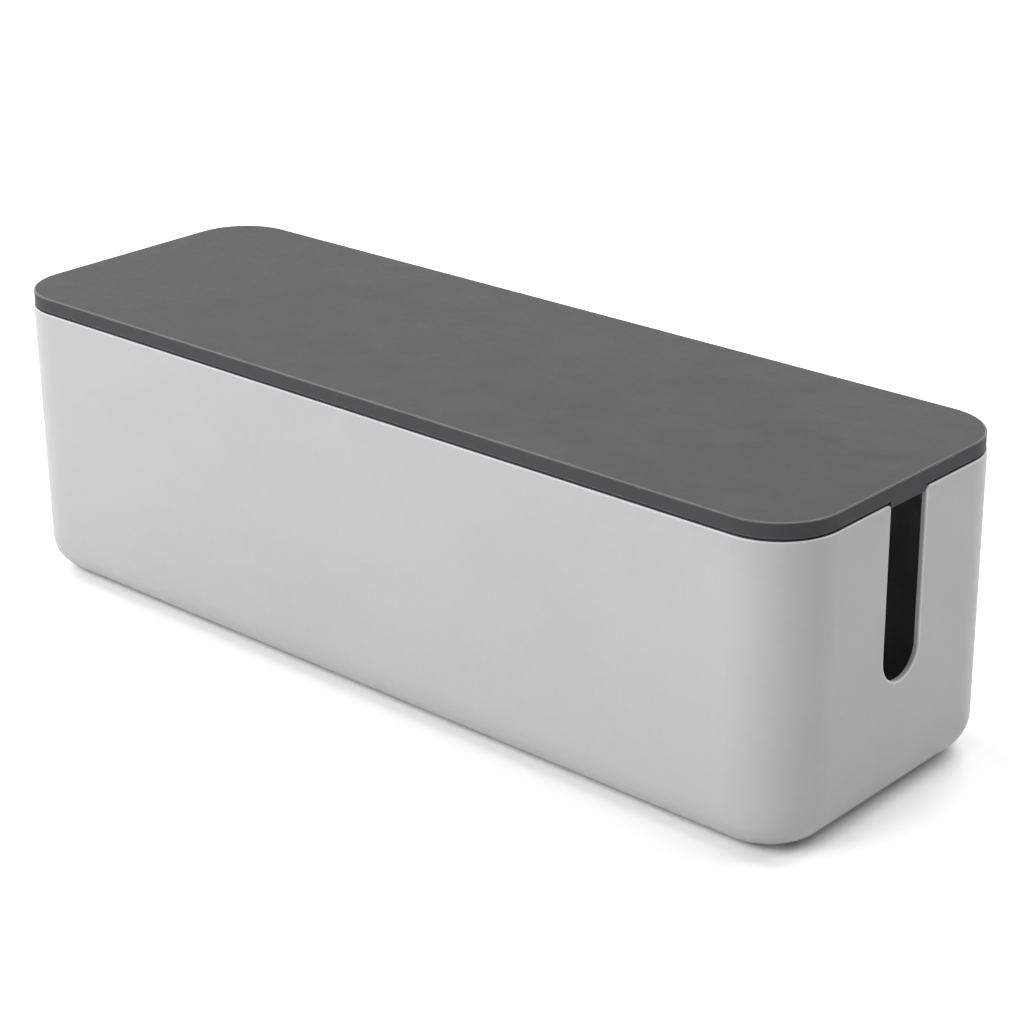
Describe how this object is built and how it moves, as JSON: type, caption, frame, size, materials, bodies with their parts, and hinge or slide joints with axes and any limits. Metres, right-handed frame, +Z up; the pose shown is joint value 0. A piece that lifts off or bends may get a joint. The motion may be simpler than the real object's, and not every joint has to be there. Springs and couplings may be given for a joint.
{
  "type": "cable management box",
  "caption": "Long box with rounded corners, a U-shaped cable slot in each end wall and a flush lid that lifts off, for hiding a power strip and its cables.",
  "frame": {"origin": "centre of the footprint, on the surface that the feet stand on", "axes": "+X along the length, towards one cable slot; +Y across the width, to the back; +Z up, the way the lid lifts"},
  "size_m": [0.4, 0.132, 0.1246],
  "materials": {
    "tub_plastic": "fine satin grain, light silver grey",
    "lid_plastic": "fine matt grain, dark grey",
    "foot_rubber": "matt black rubber",
    "adhesive": "clear, slightly yellow acrylic adhesive"
  },
  "bodies": {
    "box": {"tub": "tub_plastic", "foot_front_left": "foot_rubber", "foot_front_right": "foot_rubber", "foot_rear_left": "foot_rubber", "foot_rear_right": "foot_rubber", "adhesive_front_left": "adhesive", "adhesive_front_right": "adhesive", "adhesive_rear_left": "adhesive", "adhesive_rear_right": "adhesive"},
    "lid": {"lid": "lid_plastic"}
  },
  "joints": [
    {"name": "lid_lift", "type": "slide", "parent": "box", "child": "lid", "axis": [0, 0, 1], "range_m": [0, 0.12]}
  ]
}
